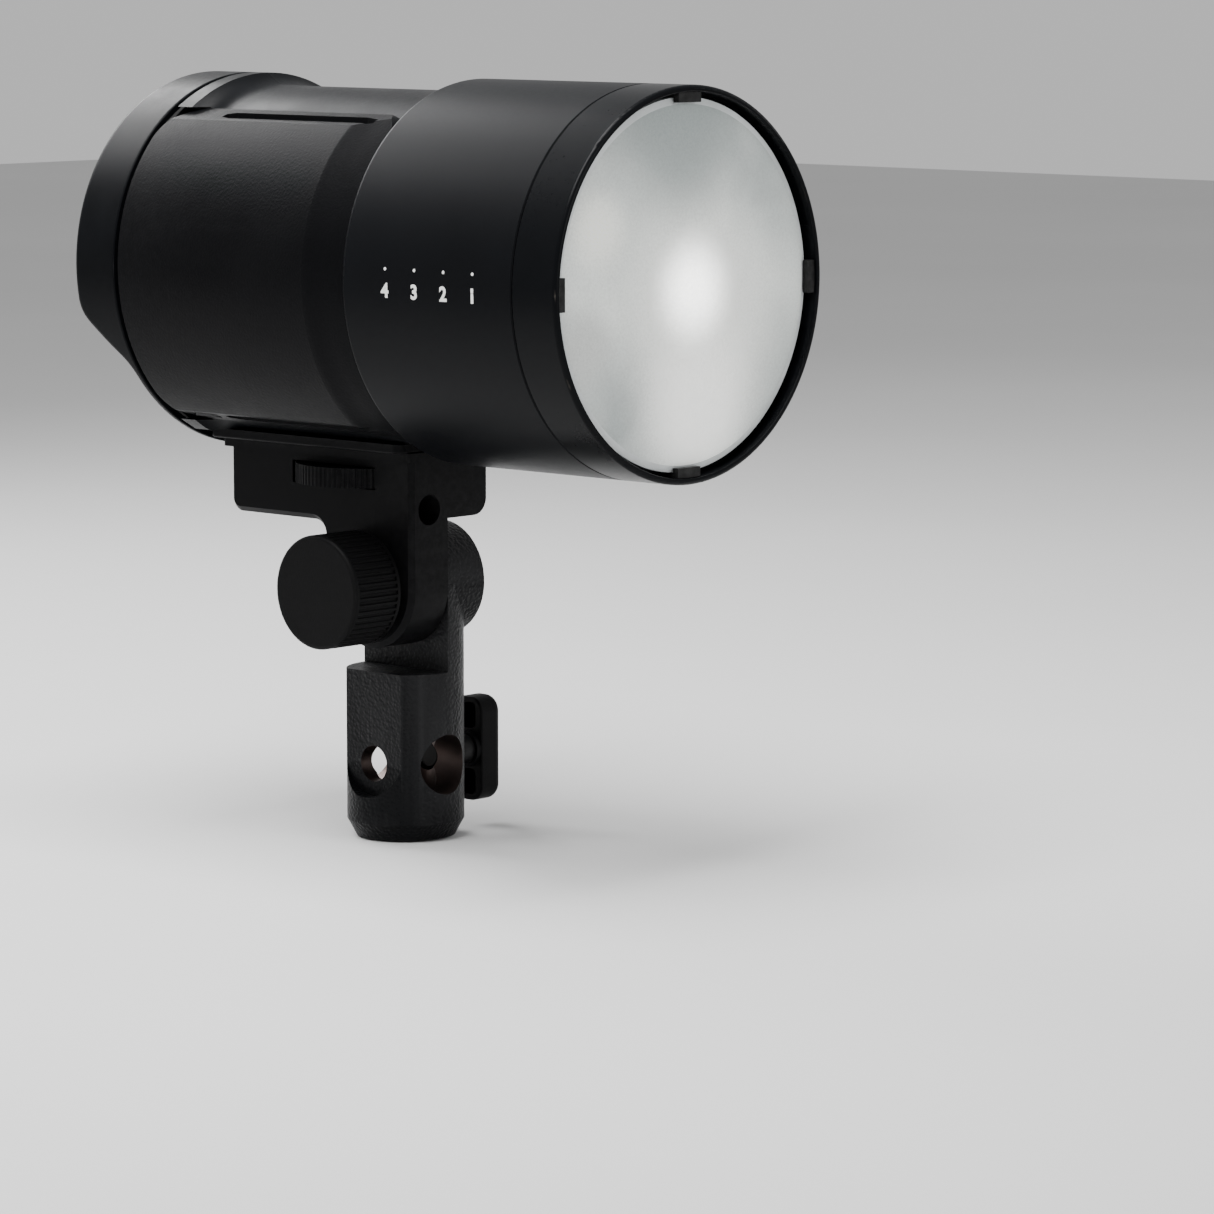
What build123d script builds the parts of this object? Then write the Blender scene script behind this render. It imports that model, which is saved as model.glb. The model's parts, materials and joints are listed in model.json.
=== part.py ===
"""Compact battery monolight strobe on a tilting stand adapter.

Row frame, millimetres: origin at the mouth of the light-stand socket, on its
axis; +Z up along the socket; the flash fires towards -Y; the battery is on -X.
"""
from build123d import *
from math import cos, sin, radians, sqrt, pi
import os

os.makedirs("parts", exist_ok=True)

# ---------------------------------------------------------------- dimensions
HZ = 150.5            # height of the optical axis above the socket mouth
PIV = 67.5            # height of the tilt axis
R_BODY = 50.0         # outside radius of barrel, bezel, collar and rear cap
R_MID = 46.7          # outside radius of the waist between barrel and collar
Y_LIP = -101.5        # front lip of the bezel
Y_SEAM = -86.7        # joint between bezel and barrel
Y_STEP = -27.5        # rear edge of the barrel
Y_BATF = -27.0        # front end of the battery
Y_FACE = -14.5        # front end of the battery's outer face
Y_BATR = 55.8         # rear end of the battery
Y_COL = 56.3          # rear end of the housing collar
Y_CAP0 = 57.7         # front edge of the rear cap
Y_CAP1 = 73.5         # back plane of the rear cap
BAT_X = -24.3         # inner plane of the battery
BAT_Z = 38.9          # half height of the battery's cavity walls
LEDGE_IN, LEDGE_OUT = 41.2, 38.7   # half heights of the battery at its inner plane and at its face
R_BAT = 50.2          # outside radius of the battery face
FLAT_Z = 106.0        # flat underside of the housing
FOOT_Z = 103.5        # underside of the foot plate and top of the bracket
SOCK_R = 15.6         # stand socket outside radius
BORE_R = 8.1          # bore for a 16 mm (5/8 in) spigot
CROSS_R = 7.95        # horizontal bore through the socket
BORE_L = 38.0         # depth of the stand bore
LEDGE_Z = 44.5        # top of the full-round part of the socket
CROSS_Z = 20.0        # height of the cross bore and the lock screw
HUB_R = 15.2          # radius of the tongue's hub
EAR_R = 16.5          # radius of the bracket ear's round end
BR_X = 14.0           # half width of the bracket
BR_Y0, BR_Y1 = -16.5, 52.0
WHEEL_Y, WHEEL_R = 12.3, 20.2
FOOT_SCREWS = [(-12.0, -8.0), (12.0, -8.0), (-12.0, 44.0), (12.0, 44.0)]
KNOB_R, KNOB_X0, KNOB_X1 = 15.0, -16.6, -33.0

AXIS_HEAD = Axis((0, 0, HZ), (0, 1, 0))
made = {}


def keep(builder, name):
    """Labels a finished part and writes its STEP."""
    part = builder.part
    part.label = name
    export_step(part, f"parts/{name}.step")
    made[name] = part


def rp(*pts):
    """Points (y, r) of a revolved head profile as sketch points on Plane.YZ."""
    return [(y, HZ + r) for y, r in pts]


def at_y(y):
    """Sketch plane across the optical axis at y, seen from the front: local x is +X, local y is up, normal is -Y."""
    return Plane(origin=(0, y, HZ), x_dir=(1, 0, 0), z_dir=(0, -1, 0))


def at_x(x):
    """Sketch plane at x: local x is +Y, local y is +Z, normal is +X."""
    return Plane(origin=(x, 0, 0), x_dir=(0, 1, 0), z_dir=(1, 0, 0))


def back_y(y):
    """Sketch plane across the optical axis at y, normal +Y: local x is -X, local y is up."""
    return Plane(origin=(0, y, HZ), x_dir=(-1, 0, 0), z_dir=(0, 1, 0))


# ================================================================ FRONT END
# Barrel: the plain tube that light shapers slide on.
with BuildPart() as front_barrel:
    with BuildSketch(Plane.YZ):
        with BuildLine():
            Polyline(*rp((Y_SEAM + 0.12, 47.4), (Y_SEAM + 0.12, R_BODY), (Y_STEP, R_BODY),
                         (Y_STEP, 46.9), (Y_STEP - 3, 46.9), (Y_STEP - 3, 47.4)), close=True)
        make_face()
    revolve(axis=AXIS_HEAD)
    rear_edge = front_barrel.edges().filter_by(GeomType.CIRCLE).filter_by(lambda e: abs(e.radius - R_BODY) < 1e-3).sort_by(Axis.Y)[-1]
    fillet(rear_edge, 1.2)
    front_edge = front_barrel.edges().filter_by(GeomType.CIRCLE).filter_by(lambda e: abs(e.radius - R_BODY) < 1e-3).sort_by(Axis.Y)[0]
    chamfer(front_edge, 0.3)
keep(front_barrel, "front_barrel")

# Bezel: carries the front glass and plugs into the barrel.
with BuildPart() as front_bezel:
    with BuildSketch(Plane.YZ):
        with BuildLine():
            Polyline(*rp((Y_LIP, 48.3), (Y_LIP, R_BODY), (Y_SEAM - 0.12, R_BODY), (Y_SEAM - 0.12, 47.3),
                         (-80.0, 47.3), (-80.0, 45.9), (-93.6, 45.9), (-93.6, 45.2), (-95.8, 45.2),
                         (-95.8, 48.3)), close=True)
        make_face()
    revolve(axis=AXIS_HEAD)
    rims = front_bezel.edges().filter_by(GeomType.CIRCLE).sort_by(Axis.Y)
    fillet([e for e in rims if abs(e.radius - R_BODY) < 1e-3 and e.center().Y < Y_LIP + 1], 1.1)
    fillet([e for e in front_bezel.edges().filter_by(GeomType.CIRCLE) if abs(e.radius - 48.3) < 1e-3 and e.center().Y < Y_LIP + 1], 0.35)
    chamfer([e for e in front_bezel.edges().filter_by(GeomType.CIRCLE) if abs(e.radius - R_BODY) < 1e-3 and e.center().Y > Y_SEAM - 1], 0.3)
    # shallow relief pockets in the inner wall between the clips
    with BuildSketch(at_y(-96.3)) as relief:
        Circle(48.75)
        Circle(48.0, mode=Mode.SUBTRACT)
        with PolarLocations(0, 4, start_angle=0):
            Rectangle(110, 26, mode=Mode.SUBTRACT)
    extrude(amount=3.4, mode=Mode.SUBTRACT)
keep(front_bezel, "front_bezel")

# Front glass: domed and frosted, 3 mm thick, ground edge.
with BuildPart() as front_glass:
    with BuildSketch(Plane.YZ):
        with BuildLine():
            glass_pts = rp((-101.1, 0), (-100.9, 15), (-100.3, 30), (-99.5, 40), (-98.9, 45.2))
            s1 = Spline(*glass_pts, tangents=[(0, 1), (0.35, 1)])
            l1 = Line(s1 @ 1, (-98.3, HZ + 46.9))
            l2 = Line(l1 @ 1, (-96.0, HZ + 46.9))
            l3 = Line(l2 @ 1, (-95.9, HZ + 45.2))
            s2 = Spline(l3 @ 1, (-96.6, HZ + 38), (-97.3, HZ + 28), (-97.8, HZ + 15), (-98.0, HZ), tangents=[(-0.3, -1), (0, -1)])
            l4 = Line(s2 @ 1, s1 @ 0)
        make_face()
    revolve(axis=AXIS_HEAD)
keep(front_glass, "front_glass")

# Four spring clips that hold the glass.
with BuildPart() as glass_clips:
    with BuildSketch(at_y(-99.0)):
        with PolarLocations(0, 4):
            with Locations((46.9, 0)):
                Rectangle(2.6, 8.4)
        Circle(48.2, mode=Mode.INTERSECT)
    extrude(amount=1.7)
    with BuildSketch(at_y(-96.0)):
        with PolarLocations(0, 4):
            with Locations((47.6, 0)):
                Rectangle(1.2, 8.4)
        Circle(48.2, mode=Mode.INTERSECT)
        Circle(47.05, mode=Mode.SUBTRACT)
    extrude(amount=3.0)
keep(glass_clips, "glass_clips")

# Reflector dish.
with BuildPart() as reflector:
    with BuildSketch(Plane.YZ):
        with BuildLine():
            o1 = Spline(*rp((-93.4, 45.0), (-84, 40.0), (-74, 33.5), (-66, 26.0), (-61, 17.0)))
            o2 = Line(o1 @ 1, (-59.6, HZ + 17.0))
            o3 = Spline(o2 @ 1, *rp((-64.6, 26.6), (-72.8, 34.6), (-83, 41.3), (-93.4, 46.0 - 0.2)))
            Line(o3 @ 1, o1 @ 0)
        make_face()
    revolve(axis=AXIS_HEAD)
keep(reflector, "reflector")

# Xenon ring tube with its two electrode legs.
with BuildPart() as flash_tube:
    with BuildSketch(Plane.YZ):
        with Locations((-68.0, HZ + 13.0)):
            Circle(2.6)
    revolve(axis=AXIS_HEAD)
    with BuildSketch(at_y(-53.6)):
        with Locations((13.0, 0), (-13.0, 0)):
            Circle(1.8)
    extrude(amount=14.4)
keep(flash_tube, "flash_tube")

# Ceramic base that the tube plugs into.
with BuildPart() as tube_base:
    with BuildSketch(at_y(-53.5)):
        Circle(16.8)
        with Locations((13.0, 0), (-13.0, 0)):
            Circle(1.9, mode=Mode.SUBTRACT)
        Circle(8.2, mode=Mode.SUBTRACT)
    extrude(amount=6.0)
keep(tube_base, "tube_base")

# LED modelling light: board and small dome lens.
with BuildPart() as modelling_led:
    with BuildSketch(at_y(-53.5)):
        Circle(8.0)
    extrude(amount=5.0)
    with BuildSketch(at_y(-58.5)):
        Circle(6.5)
    extrude(amount=4.6)
    fillet(modelling_led.edges().filter_by(GeomType.CIRCLE).sort_by(Axis.Y)[0], 4.0)
keep(modelling_led, "modelling_led")

# Heat sink behind the LED, with straight fins.
with BuildPart() as heat_sink:
    with BuildSketch(at_y(-49.5)):
        Circle(28.0)
    extrude(amount=4.0)
    with BuildSketch(at_y(-36.0)):
        with GridLocations(6.0, 1, 9, 1):
            Rectangle(1.8, 60)
        Circle(27.5, mode=Mode.INTERSECT)
    extrude(amount=13.5)
keep(heat_sink, "heat_sink")

# Bulkhead between lamp chamber and electronics, with vent holes.
with BuildPart() as bulkhead:
    with BuildSketch(at_y(-33.0)):
        Circle(46.6)
        with PolarLocations(37.0, 10):
            Circle(3.6, mode=Mode.SUBTRACT)
        with PolarLocations(12.0, 6):
            Circle(3.6, mode=Mode.SUBTRACT)
    extrude(amount=3.0)
    with BuildSketch(at_y(-36.0)):
        Circle(46.6)
        Circle(44.6, mode=Mode.SUBTRACT)
    extrude(amount=8.0)
keep(bulkhead, "bulkhead")

# ================================================================ HOUSING
# Waist and collar as a revolved shell, split at X = 0 into two half shells,
# with the flat battery bay let into the -X half.
shell_profile = rp((-32.6, 44.4), (-32.6, R_MID), (41.5, R_MID))


def shell(side):
    with BuildPart() as half:
        with BuildSketch(Plane.YZ):
            with BuildLine():
                Polyline(*shell_profile)
                Spline((41.5, HZ + R_MID), (45.5, HZ + 47.15), (48.7, HZ + 48.5), (50.6, HZ + R_BODY),
                       tangents=[(1, 0), (1, 0.95)])
                Polyline(*rp((50.6, R_BODY), (Y_COL, R_BODY), (Y_COL, 47.3), (51.0, 47.3), (45.0, 44.4), (-32.6, 44.4)))
            make_face()
        revolve(axis=AXIS_HEAD)
        back_edges = [e for e in half.edges().filter_by(GeomType.CIRCLE) if abs(e.radius - R_BODY) < 1e-3 and e.center().Y > 56]
        fillet(back_edges, 0.5)
        # flat underside with an inner floor
        with BuildSketch(at_y(Y_COL + 1)):
            with Locations((0, FLAT_Z - HZ - 10)):
                Rectangle(100, 20)
        extrude(amount=Y_COL + 1 - (Y_STEP + 0.1), mode=Mode.SUBTRACT)
        with BuildSketch(at_y(Y_COL)):
            with Locations((0, FLAT_Z - HZ + 1.1)):
                Rectangle(60, 2.2)
            Circle(46.0, mode=Mode.INTERSECT)
        extrude(amount=Y_COL - (Y_STEP + 0.1))
        with BuildSketch(at_y(Y_COL)):
            with Locations((0, FLAT_Z - HZ + 1.1)):
                Rectangle(60, 2.2)
            Circle(48.6, mode=Mode.INTERSECT)
        extrude(amount=7.0)
        with BuildSketch(Plane.XY.offset(FLAT_Z - 1)):
            with Locations(*FOOT_SCREWS):
                Circle(1.35)
            with Locations((0, WHEEL_Y)):
                Circle(6.2)
        extrude(amount=4, mode=Mode.SUBTRACT)
        with BuildSketch(at_y(Y_COL + 5)):
            with Locations((-side * 60 + side * 0.06, 0)):
                Rectangle(120, 140)
        extrude(amount=120, mode=Mode.SUBTRACT)
    return half


right_half = shell(+1)
left_half = shell(-1)

with BuildPart() as housing_right:
    add(right_half.part)
    # cooling slots low on the side
    with BuildSketch(Plane(origin=(60, 12, HZ), x_dir=(0, 1, 0), z_dir=(1, 0, 0))):
        with GridLocations(5.2, 1, 9, 1):
            SlotOverall(18, 2.2, rotation=90)
    extrude(amount=-30, mode=Mode.SUBTRACT)
keep(housing_right, "housing_right")

with BuildPart() as housing_left:
    add(left_half.part)
    with BuildSketch(at_y(60)):
        with Locations((BAT_X - 20 + 0.35, 0)):
            Rectangle(40, 2 * LEDGE_IN + 0.6)
    extrude(amount=60 - (Y_STEP + 0.1), mode=Mode.SUBTRACT)
    # bay wall
    with BuildSketch(at_y(Y_COL)):
        with Locations((BAT_X + 1.4, 0)):
            Rectangle(2.1, 2 * 39.75)
        Circle(46.0, mode=Mode.INTERSECT)
    extrude(amount=Y_COL + 29.5)
    # front closing wall of the bay, inside the barrel
    with BuildSketch(at_y(Y_STEP - 0.1)):
        Circle(46.0)
        with Locations((BAT_X + 40, 0)):
            Rectangle(80, 120, mode=Mode.SUBTRACT)
    extrude(amount=2.2)
    # window for the contact block
    with BuildSketch(at_x(BAT_X - 1)):
        with Locations((-4, HZ)):
            Rectangle(16.4, 24.4)
    extrude(amount=6, mode=Mode.SUBTRACT)
keep(housing_left, "housing_left")

# Contact block on the head side and the battery's own terminal.
with BuildPart() as contact_block:
    with BuildSketch(at_x(BAT_X + 0.35)):
        with Locations((-4, HZ)):
            Rectangle(16, 24)
    extrude(amount=5)
    with BuildSketch(at_x(BAT_X + 0.35 - 1.2)):
        with Locations((-4, HZ)):
            with GridLocations(1, 5.0, 1, 4):
                Rectangle(9, 1.4)
    extrude(amount=1.2)
keep(contact_block, "contact_block")

# ================================================================ REAR CAP
Y_LOW = 60.6          # back plane of the lower, set-back part of the cap
slope = [(Y_CAP1 + 10, HZ - 12.5), (Y_CAP1, HZ - 12.5), (Y_LOW, HZ - 26.0), (Y_LOW, HZ - 70), (Y_CAP1 + 10, HZ - 70)]
with BuildPart() as rear_cavity:
    with BuildSketch(Plane.YZ):
        Polygon(*rp((Y_CAP0 - 1, 0), (Y_CAP0 - 1, 47.4), (69.0, 47.4), (71.0, 45.4), (71.0, 0)), align=None)
    revolve(axis=AXIS_HEAD)
    with BuildSketch(Plane.YZ.offset(-60)):
        Polygon(*[(y - 3.2, z + 2.0) for y, z in slope], align=None)
    extrude(amount=120, mode=Mode.SUBTRACT)

with BuildPart() as rear_cap:
    with BuildSketch(Plane.YZ):
        Polygon(*rp((Y_CAP0, 0), (Y_CAP0, R_BODY), (Y_CAP1, R_BODY), (Y_CAP1, 0)), align=None)
    revolve(axis=AXIS_HEAD)
    with BuildSketch(Plane.YZ.offset(-60)):
        Polygon(*slope, align=None)
    extrude(amount=120, mode=Mode.SUBTRACT)
    long_x = rear_cap.edges().filter_by(Axis.X).filter_by(GeomType.LINE)
    fillet([e for e in long_x if abs(e.center().Y - Y_CAP1) < 0.01 and abs(e.center().Z - (HZ - 12.5)) < 0.01], 9.0)
    long_x = rear_cap.edges().filter_by(Axis.X).filter_by(GeomType.LINE)
    fillet([e for e in long_x if abs(e.center().Y - Y_LOW) < 0.01 and abs(e.center().Z - (HZ - 26.0)) < 0.01], 8.0)
    back_rim = [e for e in rear_cap.edges() if e.center().Y > Y_CAP0 + 1.5 and (e @ 0.5 - Vector(0, (e @ 0.5).Y, HZ)).length > R_BODY - 0.6]
    fillet(back_rim, 1.9)
    front_rim = [e for e in rear_cap.edges().filter_by(GeomType.CIRCLE) if abs(e.radius - R_BODY) < 1e-3 and e.center().Y < Y_CAP0 + 0.1]
    fillet(front_rim, 0.5)
    add(rear_cavity.part, mode=Mode.SUBTRACT)
    # seat for the control panel
    with BuildSketch(back_y(Y_CAP1 - 1.2)):
        Circle(44.0)
        with Locations((0, -44.0 - 6.5 + 2.0)):
            Rectangle(100, 88, mode=Mode.SUBTRACT)
    extrude(amount=5, mode=Mode.SUBTRACT)
    # openings behind the panel: display, dial and buttons
    with BuildSketch(back_y(Y_CAP1 - 6)):
        with Locations((0, 24.5)):
            Rectangle(52, 25)
        with Locations((0, 7.0)):
            Circle(7.5)
        with Locations((-21, 5.0), (21, 5.0), (-33, 9.0), (33, 9.0)):
            Circle(4.6)
    extrude(amount=6, mode=Mode.SUBTRACT)
    # port pocket in the lower face
    with BuildSketch(back_y(Y_LOW - 1.9)):
        with Locations((0, -36.0)):
            RectangleRounded(31.0, 12.4, 2.2)
    extrude(amount=4, mode=Mode.SUBTRACT)
    with BuildSketch(back_y(Y_LOW - 6)):
        with Locations((-7, -36.0)):
            RectangleRounded(9.6, 3.8, 1.8)
        with Locations((8, -36.0)):
            Circle(3.1)
    extrude(amount=10, mode=Mode.SUBTRACT)
    # screw holes
    with BuildSketch(back_y(Y_LOW - 6)):
        with Locations((-27, -32), (27, -32)):
            Circle(1.6)
    extrude(amount=10, mode=Mode.SUBTRACT)
keep(rear_cap, "rear_cap")

# Rubber seal in the groove between housing and cap.
with BuildPart() as rear_seal:
    with BuildSketch(at_y(Y_CAP0)):
        Circle(48.3)
        Circle(45.0, mode=Mode.SUBTRACT)
    extrude(amount=Y_CAP0 - Y_COL - 0.0)
keep(rear_seal, "rear_seal")

# Partition that closes the rear of the battery bay.
with BuildPart() as rear_partition:
    with BuildSketch(at_y(Y_CAP0)):
        Circle(44.9)
        with Locations((12, 0)):
            Rectangle(46, 50, mode=Mode.SUBTRACT)
        with Locations((0, -36.0)):
            Rectangle(28, 8, mode=Mode.SUBTRACT)
    extrude(amount=1.3)
keep(rear_partition, "rear_partition")

# Control panel: D-shaped gloss insert.
DIAL_Z = 7.0
with BuildPart() as rear_panel:
    with BuildSketch(back_y(Y_CAP1 - 1.2)):
        Circle(43.8)
        with Locations((0, -44.0 - 6.5 + 2.2)):
            Rectangle(100, 88, mode=Mode.SUBTRACT)
        with Locations((0, 24.5)):
            RectangleRounded(50.2, 23.2, 1.6, mode=Mode.SUBTRACT)
        with Locations((0, DIAL_Z)):
            Circle(5.0, mode=Mode.SUBTRACT)
        with Locations((-21, 5.0), (21, 5.0), (-33, 9.0), (33, 9.0)):
            Circle(4.25, mode=Mode.SUBTRACT)
    extrude(amount=1.4)
keep(rear_panel, "rear_panel")

with BuildPart() as display_window:
    with BuildSketch(back_y(Y_CAP1 - 1.2)):
        with Locations((0, 24.5)):
            RectangleRounded(50.0, 23.0, 1.5)
    extrude(amount=1.3)
keep(display_window, "display_window")

with BuildPart() as display_module:
    with BuildSketch(back_y(Y_CAP1 - 3.4)):
        with Locations((0, 24.5)):
            Rectangle(48, 21)
    extrude(amount=2.1)
keep(display_module, "display_module")

with BuildPart() as control_board:
    with BuildSketch(back_y(63.6)):
        with Locations((0, 17.0)):
            Rectangle(70, 40)
        Circle(44.0, mode=Mode.INTERSECT)
    extrude(amount=1.6)
    with BuildSketch(back_y(65.2)):
        with Locations((-22, 26), (20, 30), (30, 20)):
            Rectangle(9, 7)
    extrude(amount=2.0)
keep(control_board, "control_board")

# Encoder under the dial, fixed to the board.
with BuildPart() as dial_encoder:
    with BuildSketch(back_y(65.2)):
        with Locations((0, DIAL_Z)):
            Rectangle(12, 12)
    extrude(amount=4.6)
    with BuildSketch(back_y(69.8)):
        with Locations((0, DIAL_Z)):
            Circle(1.92)
    extrude(amount=2.4)
keep(dial_encoder, "dial_encoder")

# Dial: knurled ring that turns; its centre is a separate push cap.
with BuildPart() as control_dial:
    with BuildSketch(back_y(Y_CAP1 + 0.5)):
        with Locations((0, DIAL_Z)):
            Circle(10.6)
            with PolarLocations(10.75, 40):
                Circle(0.42, mode=Mode.SUBTRACT)
        with Locations((0, DIAL_Z)):
            Circle(6.2, mode=Mode.SUBTRACT)
    extrude(amount=5.0)
    with BuildSketch(back_y(70.4)):
        with Locations((0, DIAL_Z)):
            Circle(4.7)
            Circle(2.0, mode=Mode.SUBTRACT)
    extrude(amount=Y_CAP1 + 0.5 - 70.4)
    with BuildSketch(back_y(Y_CAP1 + 0.5)):
        with Locations((0, DIAL_Z)):
            Circle(6.4)
            Circle(2.0, mode=Mode.SUBTRACT)
    extrude(amount=1.0)
    top = [e for e in control_dial.edges().filter_by(GeomType.CIRCLE) if abs(e.radius - 6.2) < 0.01 and e.center().Y > Y_CAP1 + 5]
    fillet(top, 0.5)
keep(control_dial, "control_dial")

with BuildPart() as dial_push_cap:
    with BuildSketch(back_y(Y_CAP1 + 2.6)):
        with Locations((0, DIAL_Z)):
            Circle(5.8)
    extrude(amount=3.2)
    edge = [e for e in dial_push_cap.edges().filter_by(GeomType.CIRCLE) if e.center().Y > Y_CAP1 + 5.5]
    fillet(edge, 0.8)
keep(dial_push_cap, "dial_push_cap")

BUTTONS = {"power_button": (33, 9.0), "test_button": (-33, 9.0), "mode_button": (21, 5.0), "modelling_button": (-21, 5.0)}
for bname, (bx, bz) in BUTTONS.items():
    with BuildPart() as button:
        with BuildSketch(back_y(Y_CAP1 - 2.6)):
            with Locations((bx, bz)):
                Circle(3.9)
        extrude(amount=3.9)
        fillet([e for e in button.edges().filter_by(GeomType.CIRCLE) if e.center().Y > Y_CAP1 + 1], 0.7)
    keep(button, bname)

# Sockets behind the port cover.
with BuildPart() as usb_port:
    with BuildSketch(back_y(Y_LOW - 6)):
        with Locations((-7, -36.0)):
            RectangleRounded(9.4, 3.6, 1.7)
            RectangleRounded(8.3, 2.5, 1.2, mode=Mode.SUBTRACT)
    extrude(amount=4.4)
    with BuildSketch(back_y(Y_LOW - 6)):
        with Locations((-7, -36.0)):
            RectangleRounded(8.4, 2.6, 1.25)
    extrude(amount=0.8)
    with BuildSketch(back_y(Y_LOW - 5.4)):
        with Locations((-7, -36.0)):
            Rectangle(6.4, 0.7)
    extrude(amount=3.2)
keep(usb_port, "usb_port")

with BuildPart() as sync_jack:
    with BuildSketch(back_y(Y_LOW - 6)):
        with Locations((8, -36.0)):
            Circle(3.0)
    extrude(amount=4.5)
    with BuildSketch(back_y(Y_LOW - 5)):
        with Locations((8, -36.0)):
            Circle(1.8)
    extrude(amount=6, mode=Mode.SUBTRACT)
keep(sync_jack, "sync_jack")

# Soft cover over the sockets; it folds down about its lower edge.
COVER_Z = HZ - 36.0 - 5.6
with BuildPart() as port_cover:
    with BuildSketch(back_y(Y_LOW - 1.2)):
        with Locations((0, -35.9)):
            RectangleRounded(30.2, 11.2, 2.2)
    extrude(amount=1.8)
    fillet([e for e in port_cover.edges() if abs((e @ 0.5).Y - (Y_LOW + 0.6)) < 1e-3], 0.5)
    # round bead on the fold line
    with BuildSketch(at_x(-12.0)):
        with Locations((Y_LOW - 0.3, HZ - 40.6)):
            Circle(0.95)
    extrude(amount=24.0)
    # finger lip
    with BuildSketch(back_y(Y_LOW + 0.5)):
        with Locations((0, -31.9)):
            SlotOverall(9.0, 1.8)
    extrude(amount=0.9)
keep(port_cover, "port_cover")

with BuildPart() as cap_screws:
    with BuildSketch(back_y(Y_CAP0 + 0.2)):
        with Locations((-27, -32), (27, -32)):
            Circle(1.5)
    extrude(amount=Y_LOW - Y_CAP0 - 0.2)
    with BuildSketch(back_y(Y_LOW)):
        with Locations((-27, -32), (27, -32)):
            Circle(2.8)
    extrude(amount=1.3)
    with BuildSketch(back_y(Y_LOW + 1.3)):
        with Locations((-27, -32), (27, -32)):
            RegularPolygon(1.25, 6)
    extrude(amount=-0.9, mode=Mode.SUBTRACT)
keep(cap_screws, "cap_screws")

# ================================================================ ELECTRONICS
with BuildPart() as capacitors:
    with BuildSketch(back_y(-16.0)):
        with Locations((-2.0, 15.6), (-2.0, -15.6)):
            Circle(14.6)
    extrude(amount=58.0)
    fillet(capacitors.edges().filter_by(GeomType.CIRCLE), 1.5)
keep(capacitors, "capacitors")

with BuildPart() as power_board:
    with BuildSketch(at_x(20.5)):
        with Locations((17.0, HZ)):
            Rectangle(68, 62)
    extrude(amount=1.6)
keep(power_board, "power_board")

with BuildPart() as transformer:
    with BuildSketch(at_x(22.1)):
        with Locations((6.0, HZ - 6)):
            RectangleRounded(26, 24, 2)
    extrude(amount=15)
keep(transformer, "transformer")

with BuildPart() as power_transistors:
    with BuildSketch(at_x(22.1)):
        with Locations((32, HZ + 14), (32, HZ - 2), (32, HZ - 18)):
            Rectangle(16, 11)
    extrude(amount=4.6)
keep(power_transistors, "power_transistors")

FAN_X = 6.0
with BuildPart() as fan_frame:
    with BuildSketch(back_y(-29.2)):
        with Locations((-FAN_X, 0)):
            RectangleRounded(40, 40, 4)
            Circle(18.6, mode=Mode.SUBTRACT)
            with GridLocations(33, 33, 2, 2):
                Circle(1.8, mode=Mode.SUBTRACT)
    extrude(amount=10.0)
    with BuildSketch(back_y(-20.8)):
        with Locations((-FAN_X, 0)):
            Circle(8.0)
            Rectangle(39, 2.6)
            Rectangle(2.6, 39)
    extrude(amount=1.6)
keep(fan_frame, "fan_frame")

with BuildPart() as fan_rotor:
    with BuildSketch(back_y(-29.0)):
        with Locations((-FAN_X, 0)):
            Circle(8.0)
    extrude(amount=7.6)
    with BuildSketch(back_y(-28.6)):
        with Locations((-FAN_X, 0)):
            with PolarLocations(12.6, 7, rotate=True):
                Rectangle(11.0, 1.6, rotation=24)
    extrude(amount=6.6)
keep(fan_rotor, "fan_rotor")

with BuildPart() as radio_board:
    with BuildSketch(Plane.XY.offset(HZ + 36.5)):
        with Locations((4, 34)):
            Rectangle(24, 30)
    extrude(amount=1.2)
keep(radio_board, "radio_board")

# ================================================================ BATTERY
with BuildPart() as battery_cavity:
    with BuildSketch(at_y(Y_BATR - 2.0)):
        Circle(47.9)
        with Locations((BAT_X - 30, 0)):
            Rectangle(60.02, 2 * BAT_Z - 5.0, mode=Mode.INTERSECT)
    extrude(amount=Y_BATR - 2.0 - (Y_FACE + 0.5))

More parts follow.
